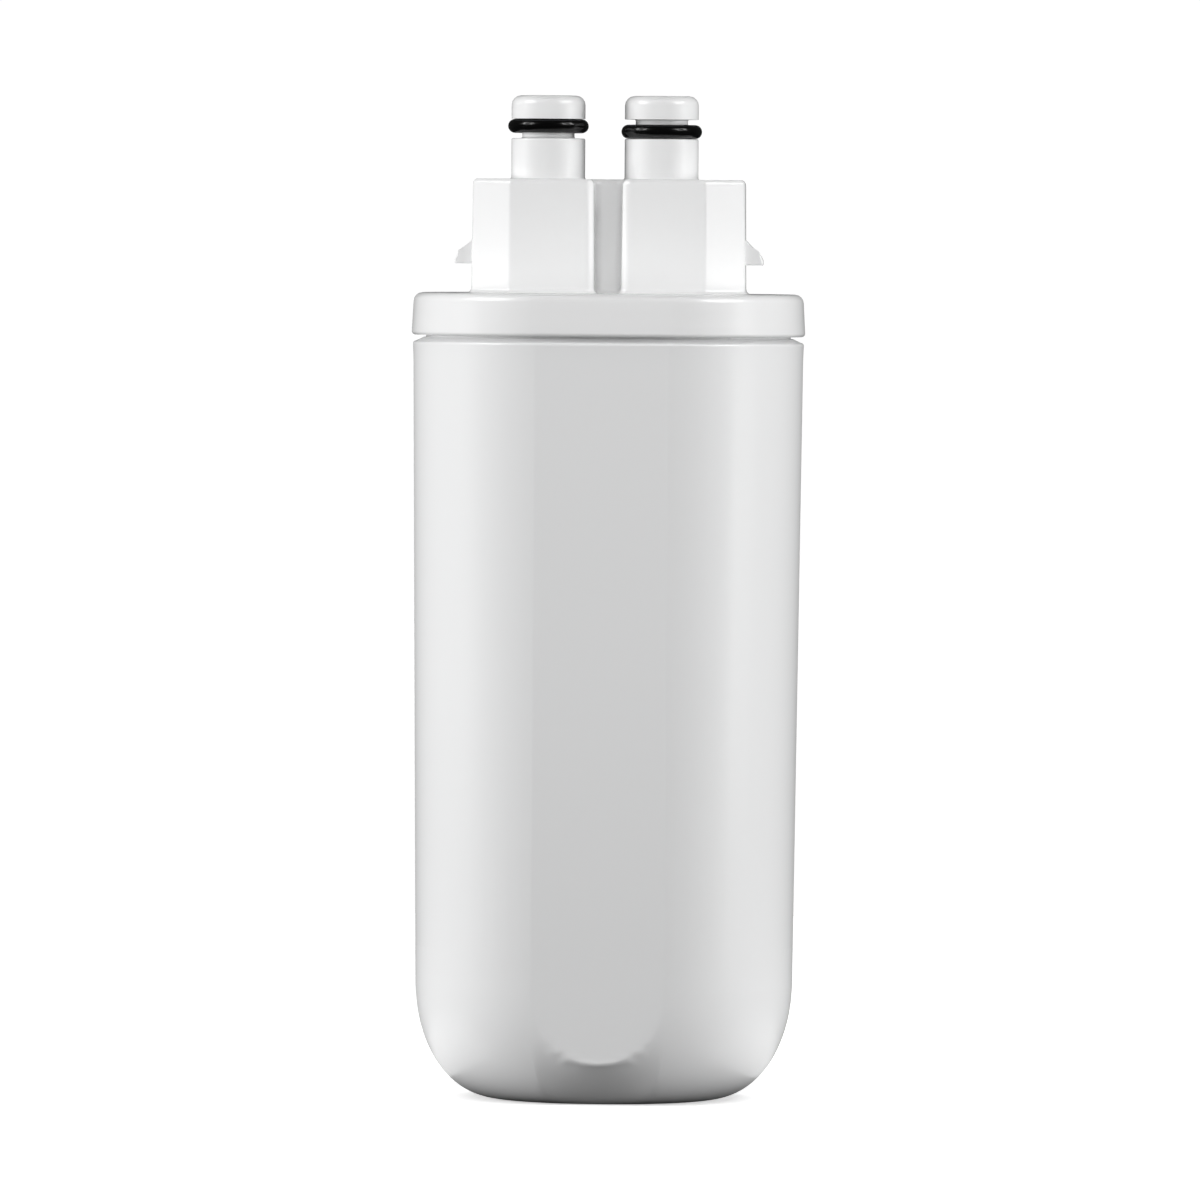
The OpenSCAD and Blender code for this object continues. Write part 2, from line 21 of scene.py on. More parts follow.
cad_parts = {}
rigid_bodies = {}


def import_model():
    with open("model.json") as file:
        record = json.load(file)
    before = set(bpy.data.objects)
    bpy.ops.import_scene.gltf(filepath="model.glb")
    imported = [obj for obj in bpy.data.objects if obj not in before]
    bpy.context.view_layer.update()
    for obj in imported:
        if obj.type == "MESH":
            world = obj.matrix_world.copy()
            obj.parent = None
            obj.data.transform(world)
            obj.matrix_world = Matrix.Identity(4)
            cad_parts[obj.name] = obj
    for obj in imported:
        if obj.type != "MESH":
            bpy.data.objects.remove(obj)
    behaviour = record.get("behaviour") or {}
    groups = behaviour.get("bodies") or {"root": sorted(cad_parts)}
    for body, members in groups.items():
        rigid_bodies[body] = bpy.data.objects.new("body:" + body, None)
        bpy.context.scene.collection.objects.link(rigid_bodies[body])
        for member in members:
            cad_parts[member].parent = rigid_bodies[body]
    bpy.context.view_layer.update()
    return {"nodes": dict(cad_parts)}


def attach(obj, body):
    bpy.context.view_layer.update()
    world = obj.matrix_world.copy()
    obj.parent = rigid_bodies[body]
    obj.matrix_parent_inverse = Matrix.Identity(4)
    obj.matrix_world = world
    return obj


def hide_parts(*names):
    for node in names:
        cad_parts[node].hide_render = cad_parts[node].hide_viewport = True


LOG = logging.getLogger("cartridge")
MILLIMETRE = 0.001
BODY = "root"

Rgb = tuple[float, float, float]
Rgba = tuple[float, float, float, float]
Point = tuple[float, float, float]


def grey(value: float) -> Rgba:
    """A grey of one value, opaque."""
    return (value, value, value, 1.0)


class Effect(Enum):
    """The shader node groups that several finishes share."""

    GRAIN = "moulding_grain"
    TONE = "flow_tone"
    MARKS = "handling_marks"
    SPECKS = "fine_specks"


# ---------------------------------------------------------------------------- node trees


class Bench:
    """Sets out and wires the nodes of one node tree."""

    # the Mix node's sockets for two colours and for their mixture
    FIRST_COLOUR, SECOND_COLOUR, MIXED_COLOUR = 6, 7, 2

    def __init__(self, tree: bpy.types.NodeTree) -> None:
        """Keeps the tree and empties it.

        Args:
            tree: the tree of a material, a world or a node group.
        """
        self.tree = tree
        tree.nodes.clear()

    def feed(self, made: bpy.types.Node, inputs: dict[Any, Any]) -> None:
        """Sets or links inputs of a node.

        Args:
            made: the node.
            inputs: for each input, by name or number, its value or the socket that feeds it.
        """
        for key, value in inputs.items():
            if isinstance(value, bpy.types.NodeSocket):
                self.tree.links.new(value, made.inputs[key])
            else:
                made.inputs[key].default_value = value

    def node(
        self, kind: str, inputs: dict[Any, Any] | None = None, **settings: Any
    ) -> bpy.types.Node:
        """Adds a node.

        Args:
            kind: the node's type, without the leading ShaderNode.
            inputs: for each input, by name or number, its value or the socket that feeds it.
            settings: properties of the node itself.

        Returns:
            The new node.
        """
        made = self.tree.nodes.new(kind if kind.startswith("Node") else f"ShaderNode{kind}")
        for name, value in settings.items():
            setattr(made, name, value)
        self.feed(made, inputs or {})
        return made

    def math(self, operation: str, *values: Any, clamp: bool = False) -> bpy.types.NodeSocket:
        """Adds a Math node.

        Args:
            operation: what it works out.
            values: its inputs in order, as numbers or sockets.
            clamp: whether the result is kept between 0 and 1.

        Returns:
            The socket that holds the result.
        """
        made = self.node("Math", dict(enumerate(values)), operation=operation, use_clamp=clamp)
        return made.outputs[0]

    def between(
        self, value: Any, low: Any, high: Any, to_low: Any, to_high: Any
    ) -> bpy.types.NodeSocket:
        """Maps a value from one span to another, kept inside it.

        Args:
            value: the socket to map.
            low: where the first span starts.
            high: where the first span ends.
            to_low: what low becomes.
            to_high: what high becomes.

        Returns:
            The socket that holds the result.
        """
        spans = dict(enumerate((value, low, high, to_low, to_high)))
        return self.node("MapRange", spans, clamp=True).outputs[0]

    def noise(
        self, vector: Any, scale: Any, detail: float = 2.0, roughness: float = 0.5
    ) -> bpy.types.NodeSocket:
        """Adds a noise texture.

        Args:
            vector: the socket that holds the coordinates.
            scale: features to the metre.
            detail: how many finer layers are added.
            roughness: how strong those layers are.

        Returns:
            The socket that holds its value.
        """
        inputs = {"Vector": vector, "Scale": scale, "Detail": detail, "Roughness": roughness}
        return self.node("TexNoise", inputs).outputs["Fac"]

    def stretched(
        self, vector: Any, scale: Point, turn: Point = (0.0, 0.0, 0.0)
    ) -> bpy.types.NodeSocket:
        """Turns and stretches coordinates.

        Args:
            vector: the socket that holds the coordinates.
            scale: the factor along each axis.
            turn: the turn round each axis, in radians.

        Returns:
            The socket that holds the new coordinates.
        """
        inputs = {"Vector": vector, "Scale": scale, "Rotation": turn}
        return self.node("Mapping", inputs).outputs[0]

    def place(self) -> bpy.types.NodeSocket:
        """The object coordinates."""
        return self.node("TexCoord").outputs["Object"]

    def mix(self, factor: Any, first: Any, second: Any) -> bpy.types.NodeSocket:
        """Mixes two colours.

        Args:
            factor: 0 gives the first and 1 the second.
            first: a colour or a socket.
            second: a colour or a socket.

        Returns:
            The socket that holds the mixed colour.
        """
        made = self.node("Mix", {0: factor}, data_type="RGBA")
        for key, value in ((self.FIRST_COLOUR, first), (self.SECOND_COLOUR, second)):
            linked = isinstance(value, bpy.types.NodeSocket)
            self.feed(made, {key: value if linked else (*value, 1.0)})
        return made.outputs[self.MIXED_COLOUR]


class EffectShelf:
    """Builds each shared node group once and hands it out."""

    def __init__(self) -> None:
        """Starts with an empty shelf."""
        self.made: dict[Effect, bpy.types.ShaderNodeTree] = {}

    def take(self, effect: Effect) -> bpy.types.ShaderNodeTree:
        """The node group of an effect, built when it is first asked for.

        Args:
            effect: which group.

        Returns:
            The group's node tree.
        """
        if effect not in self.made:
            builders = {
                Effect.GRAIN: self.moulding_grain,
                Effect.TONE: self.flow_tone,
                Effect.MARKS: self.handling_marks,
                Effect.SPECKS: self.fine_specks,
            }
            self.made[effect] = builders[effect](effect.value)
        return self.made[effect]

    @staticmethod
    def empty(
        name: str, inputs: dict[str, float], outputs: dict[str, str]
    ) -> tuple[Bench, bpy.types.Node, bpy.types.Node]:
        """An empty node group with its sockets.

        Args:
            name: the group's name.
            inputs: the name and the first value of each number that goes in.
            outputs: the name and the socket type of each thing that comes out.

        Returns:
            The bench for its nodes, the group's input node and its output node.
        """
        tree = bpy.data.node_groups.new(name, "ShaderNodeTree")
        for label, value in inputs.items():
            socket = tree.interface.new_socket(label, in_out="INPUT", socket_type="NodeSocketFloat")
            socket.default_value = value
        for label, kind in outputs.items():
            tree.interface.new_socket(label, in_out="OUTPUT", socket_type=kind)
        bench = Bench(tree)
        return bench, bench.node("NodeGroupInput"), bench.node("NodeGroupOutput")

    def moulding_grain(self, name: str) -> bpy.types.ShaderNodeTree:
        """The faint waviness and grain that a mould leaves on plastic or rubber.

        Args:
            name: the group's name.

        Returns:
            The group, which gives a normal and the grain's own value.
        """
        bench, given, result = self.empty(
            name,
            {"Fineness": 900.0, "Depth": 0.1, "Waviness": 0.1},
            {"Normal": "NodeSocketVector", "Grain": "NodeSocketFloat"},
        )
        waves_to_metre, wave_height, grain_height = 55.0, 0.4 * MILLIMETRE, 0.04 * MILLIMETRE
        place = bench.place()
        waves = bench.noise(place, waves_to_metre, 1.0)
        grain = bench.noise(place, given.outputs["Fineness"], 3.0, 0.6)
        low = bench.node(
            "Bump",
            {"Strength": given.outputs["Waviness"], "Distance": wave_height, "Height": waves},
        )
        high = bench.node(
            "Bump",
            {
                "Strength": given.outputs["Depth"],
                "Distance": grain_height,
                "Height": grain,
                "Normal": low.outputs[0],
            },
        )
        bench.feed(result, {"Normal": high.outputs[0], "Grain": grain})
        return bench.tree

    def flow_tone(self, name: str) -> bpy.types.ShaderNodeTree:
        """The slow change of tone that a melt leaves along the way it has flowed.

        Args:
            name: the group's name.

        Returns:
            The group, which gives a share from 0 to 1.
        """
        bench, given, result = self.empty(name, {"Streaks": 0.5}, {"Tone": "NodeSocketFloat"})
        clouds_to_metre, streaks_to_metre = 22.0, (160.0, 160.0, 9.0)
        palest, darkest = 0.34, 0.66
        place = bench.place()
        clouds = bench.noise(place, clouds_to_metre, 2.0)
        streaks = bench.noise(bench.stretched(place, streaks_to_metre), 1.0, 3.0, 0.6)
        clear = bench.math("SUBTRACT", 1.0, given.outputs["Streaks"])
        both = bench.math(
            "ADD",
            bench.math("MULTIPLY", clouds, clear),
            bench.math("MULTIPLY", streaks, given.outputs["Streaks"]),
        )
        bench.feed(result, {"Tone": bench.between(both, palest, darkest, 0.0, 1.0)})
        return bench.tree

    def handling_marks(self, name: str) -> bpy.types.ShaderNodeTree:
        """Rubbed patches and hair-fine scratches from packing and handling.

        Args:
            name: the group's name.

        Returns:
            The group, which gives a mask from 0 to 1.
        """
        bench, given, result = self.empty(
            name, {"Patches": 0.6, "Scratches": 0.4}, {"Mask": "NodeSocketFloat"}
        )
        patches_to_metre, patch_from, patch_full = 30.0, 0.45, 0.72
        scratches_to_metre, scratch_width = (26.0, 1500.0, 26.0), 0.03
        scratch_ways = (((0.4, 0.2, 0.9), 0.63), ((1.2, 0.7, 0.1), 0.65))
        place = bench.place()
        rubbing = bench.noise(place, patches_to_metre, 4.0, 0.6)
        patches = bench.between(rubbing, patch_from, patch_full, 0.0, 1.0)
        total = bench.math("MULTIPLY", patches, given.outputs["Patches"])
        for turn, scratch_from in scratch_ways:
            lines = bench.noise(bench.stretched(place, scratches_to_metre, turn), 1.0, 1.0)
            thin = bench.between(lines, scratch_from, scratch_from + scratch_width, 0.0, 1.0)
            faint = bench.math("MULTIPLY", thin, given.outputs["Scratches"])
            total = bench.math("ADD", total, faint, clamp=True)
        bench.feed(result, {"Mask": total})
        return bench.tree

    def fine_specks(self, name: str) -> bpy.types.ShaderNodeTree:
        """Scattered round specks, such as dust, pores or bubbles.

        Args:
            name: the group's name.

        Returns:
            The group, which gives a mask from 0 to 1.
        """
        bench, given, result = self.empty(
            name, {"Fineness": 800.0, "Size": 0.2}, {"Mask": "NodeSocketFloat"}
        )
        cells = bench.node(
            "TexVoronoi", {"Vector": bench.place(), "Scale": given.outputs["Fineness"]}
        )
        near = bench.math("SUBTRACT", given.outputs["Size"], cells.outputs["Distance"])
        soft = bench.math("DIVIDE", near, given.outputs["Size"], clamp=True)
        bench.feed(result, {"Mask": soft})
        return bench.tree


# ---------------------------------------------------------------------------- finishes


@dataclass(frozen=True)
class Finish:
    """What every finish has: a name, two tones and a span of roughness."""

    name: str
    light: Rgb
    dark: Rgb
    smooth: float
    rubbed: float

    def material(self, shelf: EffectShelf) -> bpy.types.Material:
        """Builds the material, which each kind of finish does in its own way."""
        raise NotImplementedError

    def start(self) -> tuple[bpy.types.Material, Bench, bpy.types.Node]:
        """A new material with its shader.

        Returns:
            The material, the bench for its nodes and its Principled shader.
        """
        material = bpy.data.materials.new(self.name)
        material.use_nodes = True
        bench = Bench(material.node_tree)
        shader = bench.node("BsdfPrincipled")
        bench.node("OutputMaterial", {"Surface": shader.outputs[0]})
        material.diffuse_color = (*self.light, 1.0)
        return material, bench, shader

    @staticmethod
    def effect(bench: Bench, shelf: EffectShelf, effect: Effect, **values: float) -> bpy.types.Node:
        """Places a shared effect in a material.

        Args:
            bench: the material's bench.
            shelf: where the effects are kept.
            effect: which one.
            values: its inputs by name.

        Returns:
            The group node.
        """
        return bench.node("Group", values, node_tree=shelf.take(effect))


@dataclass(frozen=True)
class MouldedPlastic(Finish):
    """Injection moulded plastic: a soft sheen, flow streaks, faint waviness and handling marks."""

    streaks: float = 0.4
    fineness: float = 1400.0
    grain: float = 0.1
    waviness: float = 0.03
    patches: float = 0.6
    scratches: float = 0.25

    def material(self, shelf: EffectShelf) -> bpy.types.Material:
        """Builds the material.

        Args:
            shelf: where the shared effects are kept.

        Returns:
            The new material.
        """
        material, bench, shader = self.start()
        tone = self.effect(bench, shelf, Effect.TONE, Streaks=self.streaks)
        marks = self.effect(
            bench, shelf, Effect.MARKS, Patches=self.patches, Scratches=self.scratches
        )
        mould = {"Fineness": self.fineness, "Depth": self.grain, "Waviness": self.waviness}
        grain = self.effect(bench, shelf, Effect.GRAIN, **mould)
        rough = bench.between(marks.outputs["Mask"], 0.0, 1.0, self.smooth, self.rubbed)
        bench.feed(
            shader,
            {
                "Base Color": bench.mix(tone.outputs["Tone"], self.light, self.dark),
                "Roughness": rough,
                "Normal": grain.outputs["Normal"],
            },
        )
        return material


@dataclass(frozen=True)
class SealRubber(Finish):
    """Moulded black rubber, greased for fitting, with a few specks of dust on it."""

    dust: Rgb = (0.012, 0.012, 0.012)
    dusting: float = 0.35

    def material(self, shelf: EffectShelf) -> bpy.types.Material:
        """Builds the material.

        Args:
            shelf: where the shared effects are kept.

        Returns:
            The new material.
        """
        material, bench, shader = self.start()
        tone = self.effect(bench, shelf, Effect.TONE, Streaks=0.2)
        marks = self.effect(bench, shelf, Effect.MARKS, Patches=1.0, Scratches=0.1)
        grain = self.effect(bench, shelf, Effect.GRAIN, Fineness=2600.0, Depth=0.1, Waviness=0.03)
        specks = self.effect(bench, shelf, Effect.SPECKS, Fineness=900.0, Size=0.11)
        base = bench.mix(tone.outputs["Tone"], self.light, self.dark)
        faint = bench.math("MULTIPLY", specks.outputs["Mask"], self.dusting)
        rough = bench.between(marks.outputs["Mask"], 0.0, 1.0, self.smooth, self.rubbed)
        bench.feed(
            shader,
            {
                "Base Color": bench.mix(faint, base, self.dust),
                "Roughness": rough,
                "Normal": grain.outputs["Normal"],
            },
        )
        return material


@dataclass(frozen=True)
class SinteredCarbon(Finish):
    """Carbon grains pressed and sintered into a block, with open pores between them; its colour has
    a painted glint on each grain's top and painted shade in the pores and between the grains.
    """

    grain_size: float = 0.6 * MILLIMETRE
    relief: float = 0.3 * MILLIMETRE

    def material(self, shelf: EffectShelf) -> bpy.types.Material:
        """Builds the material.

        Args:
            shelf: where the shared effects are kept.

        Returns:
            The new material.
        """
        material, bench, shader = self.start()
        fineness = 1.0 / self.grain_size
        grains = bench.node("TexVoronoi", {"Vector": bench.place(), "Scale": fineness})
        pores = self.effect(bench, shelf, Effect.SPECKS, Fineness=0.5 * fineness, Size=0.35)
        # painted glint: each grain is lighter towards its middle, as though it caught the light,
        # and this also raises its bump
        glint = bench.between(grains.outputs["Distance"], 0.1, 0.7, 1.0, 0.0)
        open_pores = bench.math("SUBTRACT", 1.0, pores.outputs["Mask"])
        height = bench.math("MULTIPLY", glint, open_pores)
        bump = bench.node("Bump", {"Strength": 0.9, "Distance": self.relief, "Height": height})
        bench.feed(
            shader,
            {
                # the base colour follows the height: painted glint on the grain tops, painted shade
                # in the pores and between the grains
                "Base Color": bench.mix(height, self.dark, self.light),
                "Roughness": bench.between(height, 0.0, 1.0, self.rubbed, self.smooth),
                "Normal": bump.outputs[0],
            },
        )
        return material


@dataclass(frozen=True)
class SpunFleece(Finish):
    """A white non-woven sheet: crossed fibres, bonded in knots."""

    fibre_pitch: float = 0.5 * MILLIMETRE
    fibre_stretch: float = 0.12
    relief: float = 0.2 * MILLIMETRE
    sheen: float = 0.3

    def material(self, shelf: EffectShelf) -> bpy.types.Material:
        """Builds the material.

        Args:
            shelf: where the shared effects are kept.

        Returns:
            The new material.
        """
        material, bench, shader = self.start()
        place = bench.place()
        fine, long = 1.0 / self.fibre_pitch, self.fibre_stretch / self.fibre_pitch
        layers = [
            bench.noise(bench.stretched(place, (long, long, fine), turn), 1.0, 3.0, 0.7)
            for turn in ((0.5, 0.3, 0.0), (-0.6, 0.2, 0.4), (0.1, -0.7, 1.1))
        ]
        fibres = bench.math("MAXIMUM", bench.math("MAXIMUM", *layers[:2]), layers[2])
        knots = self.effect(bench, shelf, Effect.SPECKS, Fineness=420.0, Size=0.3)
        raised = bench.between(fibres, 0.45, 0.75, 0.0, 1.0)
        height = bench.math("SUBTRACT", raised, knots.outputs["Mask"])
        bump = bench.node("Bump", {"Strength": 0.7, "Distance": self.relief, "Height": height})
        bench.feed(
            shader,
            {
                "Base Color": bench.mix(raised, self.dark, self.light),
                "Roughness": bench.between(raised, 0.0, 1.0, self.rubbed, self.smooth),
                "Normal": bump.outputs[0],
                "Sheen Weight": self.sheen,
            },
        )
        return material


@dataclass(frozen=True)
class HotMelt(Finish):
    """Set glue, waxy and a little uneven, with small bubbles."""

    bubble: Rgb = (0.95, 0.93, 0.86)
    paleness: float = 0.5
    coat: float = 0.2

    def material(self, shelf: EffectShelf) -> bpy.types.Material:
        """Builds the material.

        Args:
            shelf: where the shared effects are kept.

        Returns:
            The new material.
        """
        material, bench, shader = self.start()
        tone = self.effect(bench, shelf, Effect.TONE, Streaks=0.1)
        grain = self.effect(bench, shelf, Effect.GRAIN, Fineness=500.0, Depth=0.3, Waviness=0.9)
        bubbles = self.effect(bench, shelf, Effect.SPECKS, Fineness=600.0, Size=0.25)
        base = bench.mix(tone.outputs["Tone"], self.light, self.dark)
        pale = bench.math("MULTIPLY", bubbles.outputs["Mask"], self.paleness)
        rough = bench.between(grain.outputs["Grain"], 0.3, 0.7, self.smooth, self.rubbed)
        bench.feed(
            shader,
            {
                "Base Color": bench.mix(pale, base, self.bubble),
                "Roughness": rough,
                "Normal": grain.outputs["Normal"],
                "Coat Weight": self.coat,
            },
        )
        return material


CUP_PLASTIC = MouldedPlastic(
    "cup_plastic_white",
    light=(0.85, 0.853, 0.855),
    dark=(0.847, 0.85, 0.852),
    smooth=0.26,
    rubbed=0.275,
    streaks=0.15,
    scratches=0.1,
)
CAP_PLASTIC = MouldedPlastic(
    "cap_plastic_white",
    light=(0.872, 0.874, 0.875),
    dark=(0.869, 0.871, 0.872),
    smooth=0.2,
    rubbed=0.215,
    streaks=0.15,
    scratches=0.1,
)
SEAL_RUBBER = SealRubber(
    "seal_rubber_black",
    light=(0.002, 0.002, 0.002),
    dark=(0.001, 0.001, 0.001),
    smooth=0.17,
    rubbed=0.19,
)
END_CAP_PLASTIC = MouldedPlastic(
    "end_cap_plastic",
    light=(0.72, 0.74, 0.75),
    dark=(0.68, 0.70, 0.71),
    smooth=0.42,
    rubbed=0.52,
    grain=0.3,
)
CORE_PLASTIC = MouldedPlastic(
    "core_plastic",
    light=(0.82, 0.82, 0.82),
    dark=(0.77, 0.77, 0.76),
    smooth=0.45,
    rubbed=0.55,
    grain=0.3,
)
NET_PLASTIC = MouldedPlastic(
    "net_plastic",
    light=(0.6, 0.7, 0.78),
    dark=(0.52, 0.63, 0.73),
    smooth=0.3,
    rubbed=0.42,
    streaks=0.8,
    waviness=0.3,
)
CARBON = SinteredCarbon(
    "carbon_sintered",
    light=(0.05, 0.05, 0.053),
    dark=(0.008, 0.008, 0.009),
    smooth=0.5,
    rubbed=0.95,
)
FLEECE = SpunFleece(
    "nonwoven_white",
    light=(0.9, 0.9, 0.88),
    dark=(0.72, 0.72, 0.7),
    smooth=0.8,
    rubbed=0.95,
)
GLUE = HotMelt(
    "glue_set",
    light=(0.85, 0.78, 0.55),
    dark=(0.78, 0.69, 0.44),
    smooth=0.3,
    rubbed=0.5,
)


# ---------------------------------------------------------------------------- the object


def only(obj: bpy.types.Object) -> None:
    """Selects one object alone and makes it the active one.

    Args:
        obj: the object.
    """
    for other in bpy.context.scene.objects:
        other.select_set(False)
    obj.select_set(True)
    bpy.context.view_layer.objects.active = obj


@dataclass
class Moulding:
    """A welded moulding, shown as a smooth copy of its CAD node."""

    node: str
    piece: str
    slot: str
    finish: MouldedPlastic
    sharp_from: float  # edges that turn by more than this many degrees stay sharp
    merge_within: float = 2e-6  # points closer than this are one
    empty_below: float = 1e-7  # edges shorter than this are dissolved
    flat_weight: int = 60  # how much more a large face counts in the shading

    def reshape(self, made: bpy.types.Object) -> None:
        """Leaves the copy as it is, where a moulding has nothing to reshape."""

    def seams(self) -> tuple[float, ...]:
        """Places across the width at which faces are cut, of which a plain moulding has none."""
        return ()

    def smooth_copy(self, node: bpy.types.Object) -> bpy.types.Object:
        """Copies a CAD node, merges its loose triangles and shades its roundings smooth.

        Args:
            node: the CAD node's object.

        Returns:
            The new object, at the origin.
        """
        made = bpy.data.objects.new(self.piece, node.data.copy())
        bpy.context.scene.collection.objects.link(made)
        made.data.materials.clear()
        only(made)
        bpy.ops.mesh.customdata_custom_splitnormals_clear()
        bpy.ops.object.mode_set(mode="EDIT")
        bpy.ops.mesh.select_all(action="SELECT")
        bpy.ops.mesh.remove_doubles(threshold=self.merge_within)
        bpy.ops.mesh.dissolve_degenerate(threshold=self.empty_below)
        bpy.ops.object.mode_set(mode="OBJECT")
        self.reshape(made)
        bpy.ops.object.mode_set(mode="EDIT")
        for seam in self.seams():
            bpy.ops.mesh.select_all(action="SELECT")
            bpy.ops.mesh.bisect(plane_co=(seam, 0.0, 0.0), plane_no=(1.0, 0.0, 0.0))
        bpy.ops.object.mode_set(mode="OBJECT")
        bpy.ops.object.shade_smooth_by_angle(angle=math.radians(self.sharp_from))
        weigh = made.modifiers.new("weigh", "WEIGHTED_NORMAL")
        weigh.keep_sharp = True
        weigh.weight = self.flat_weight
        bpy.ops.object.modifier_apply(modifier=weigh.name)
        return made

    def build(
        self, nodes: dict[str, bpy.types.Object], shelf: EffectShelf
    ) -> bpy.types.Object:
        """Makes and dresses the copy.

        Args:
            nodes: the CAD nodes by name.
            shelf: where the shared effects are kept.

        Returns:
            The new piece.
        """
        made = self.smooth_copy(nodes[self.node])
        made.data.materials.append(self.finish.material(shelf))
        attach(made, BODY)
        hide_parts(self.node)
        return made


@dataclass
class Cup(Moulding):
    """The cup, crisper where each panel ends in a U on the dome, and with a smoother bottom.

    Its outside below the straight wall is 96 columns of points, whose rows are counted from the
    foot up.
    """

    node: str = "housing"
    piece: str = "cup_shell"
    slot: str = "cup_plastic"
    finish: MouldedPlastic = CUP_PLASTIC
    sharp_from: float = 40.0
    panel_half: float = 12.05 * MILLIMETRE  # from the middle of a panel to its upright crease
    crease_softness: float = 1.1 * MILLIMETRE  # how far a crease's softness reaches to each side
    bottom_height: float = 27.5 * MILLIMETRE  # where the bottom becomes the straight wall
    column_gap: float = 0.002  # the least turn between two columns, in radians
    round_from: int = 8  # the row at which the rounding of a panel's end starts
    round_to: int = 12  # the row at which it has become the wall
    flatness: float = 0.55  # how far the dome below a panel's end is drawn in, of 1 for straight
    fade_start: float = 2.5  # a higher power keeps the change fuller beside the middle
    fade_end: float = 1.5  # a higher power lets it end more softly at the crease
    cuts: int = 2  # along each edge of the bottom's outside
    foot_slack: float = 0.01 * MILLIMETRE  # a face that is no higher than this
    faces_down: float = -0.98  # and looks down at least this straight belongs to the foot

    def columns(self, made: bpy.types.Object) -> list[list[bpy.types.MeshVertex]]:
        """The points of the bottom's outside, as the columns that run up from the foot.

        Args:
            made: the copy of the cup.

        Returns:
            The columns, each from the foot up.
        """
        seats = []
        for vertex in made.data.vertices:
            place, normal = vertex.co, vertex.normal
            outside = place.x * normal.x + place.y * normal.y > 0.0
            if place.z < self.bottom_height and outside:
                seats.append((math.atan2(place.y, place.x), vertex))
        seats.sort(key=lambda seat: seat[0])
        columns: list[list[bpy.types.MeshVertex]] = []
        last = -math.inf
        for angle, vertex in seats:
            if angle - last > self.column_gap:
                columns.append([])
            columns[-1].append(vertex)
            last = angle
        return [sorted(column, key=lambda vertex: vertex.co.z) for column in columns]

    def tighten_panel_ends(self, made: bpy.types.Object) -> None:
        """Makes the edge where each panel ends crisper, and the dome below it flatter.

        Args:
            made: the copy of the cup.
        """
        first, last = self.round_from, self.round_to
        for column in self.columns(made):
            if len(column) <= last:
                continue
            foot, start, wall = (column[row].co.copy() for row in (0, first, last))
            edge = (start.z + wall.z) / 2.0
            across = abs(wall.x) / self.panel_half
            share = max(0.0, 1.0 - across**self.fade_start) ** self.fade_end
            for row in range(1, last):
                place = column[row].co
                if row > first:
                    part = (row - first) / (last - first)
                    place.xy += (wall.xy - start.xy) * share * min(part, 1.0 - part) ** 2
                straight = foot.xy.lerp(wall.xy, min(1.0, place.z / edge))
                place.xy = place.xy.lerp(straight, self.flatness * share)
        made.data.update()

    def round_off_bottom(self, made: bpy.types.Object) -> None:
        """Subdivides the bottom's outside, so that its curves have no corners.

        The foot stays flat on the floor.

        Args:
            made: the copy of the cup.
        """
        bpy.ops.object.mode_set(mode="EDIT")
        bpy.ops.mesh.select_mode(type="FACE")
        bpy.ops.mesh.select_all(action="DESELECT")
        bpy.ops.object.mode_set(mode="OBJECT")
        for face in made.data.polygons:
            centre, normal = face.center, face.normal
            outside = centre.x * normal.x + centre.y * normal.y > 0.0
            foot = normal.z <= self.faces_down and centre.z <= self.foot_slack
            face.select = outside and centre.z < self.bottom_height and not foot
        bpy.ops.object.mode_set(mode="EDIT")
        bpy.ops.mesh.tris_convert_to_quads(face_threshold=math.pi, shape_threshold=math.pi)
        bpy.ops.mesh.subdivide(number_cuts=self.cuts, smoothness=1.0)
        bpy.ops.object.mode_set(mode="OBJECT")
        for vertex in made.data.vertices:
            vertex.co.z = max(vertex.co.z, 0.0)

    def reshape(self, made: bpy.types.Object) -> None:
        """Refines the outside of the bottom.

        Args:
            made: the copy of the cup, with its points merged.
        """
        self.tighten_panel_ends(made)
        self.round_off_bottom(made)

    def seams(self) -> tuple[float, ...]:
        """Places beside the panels' creases, which keep the soft shading of each to itself.

        Returns:
            Places across the width, in metres.
        """
        steps = (-self.crease_softness, self.crease_softness)
        return tuple(side * (self.panel_half + step) for side in (-1.0, 1.0) for step in steps)


@dataclass
class Cap(Moulding):
    """The cap, with its flange, port towers, nipples and latch ears."""

    node: str = "cap"
    piece: str = "cap_shell"
    slot: str = "cap_plastic"
    finish: MouldedPlastic = CAP_PLASTIC
    sharp_from: float = 34.0


@dataclass(frozen=True)
class FilterElement:
    """The CAD nodes that keep their own shape: the element inside and the three seal rings."""

    finishes: tuple[tuple[Finish, tuple[str, ...]], ...] = (
        (SEAL_RUBBER, ("inlet_o_ring", "outlet_o_ring", "spigot_o_ring")),
        (END_CAP_PLASTIC, ("top_end_cap", "bottom_end_cap")),
        (GLUE, ("top_glue_bead", "bottom_glue_bead")),
        (CARBON, ("carbon_block",)),
        (FLEECE, ("prefilter_wrap", "post_filter_sleeve")),
        (NET_PLASTIC, ("outer_net",)),
        (CORE_PLASTIC, ("core_tube",)),
    )

    def dress(
        self, nodes: dict[str, bpy.types.Object], shelf: EffectShelf
    ) -> list[bpy.types.Object]:
        """Gives each node its finish.

        Args:
            nodes: the CAD nodes by name.
            shelf: where the shared effects are kept.

        Returns:
            The dressed nodes.
        """
        dressed = []
        for finish, names in self.finishes:
            material = finish.material(shelf)
            for name in names:
                for slot in nodes[name].material_slots:
                    slot.material = material
                dressed.append(nodes[name])
        return dressed


# ---------------------------------------------------------------------------- studio


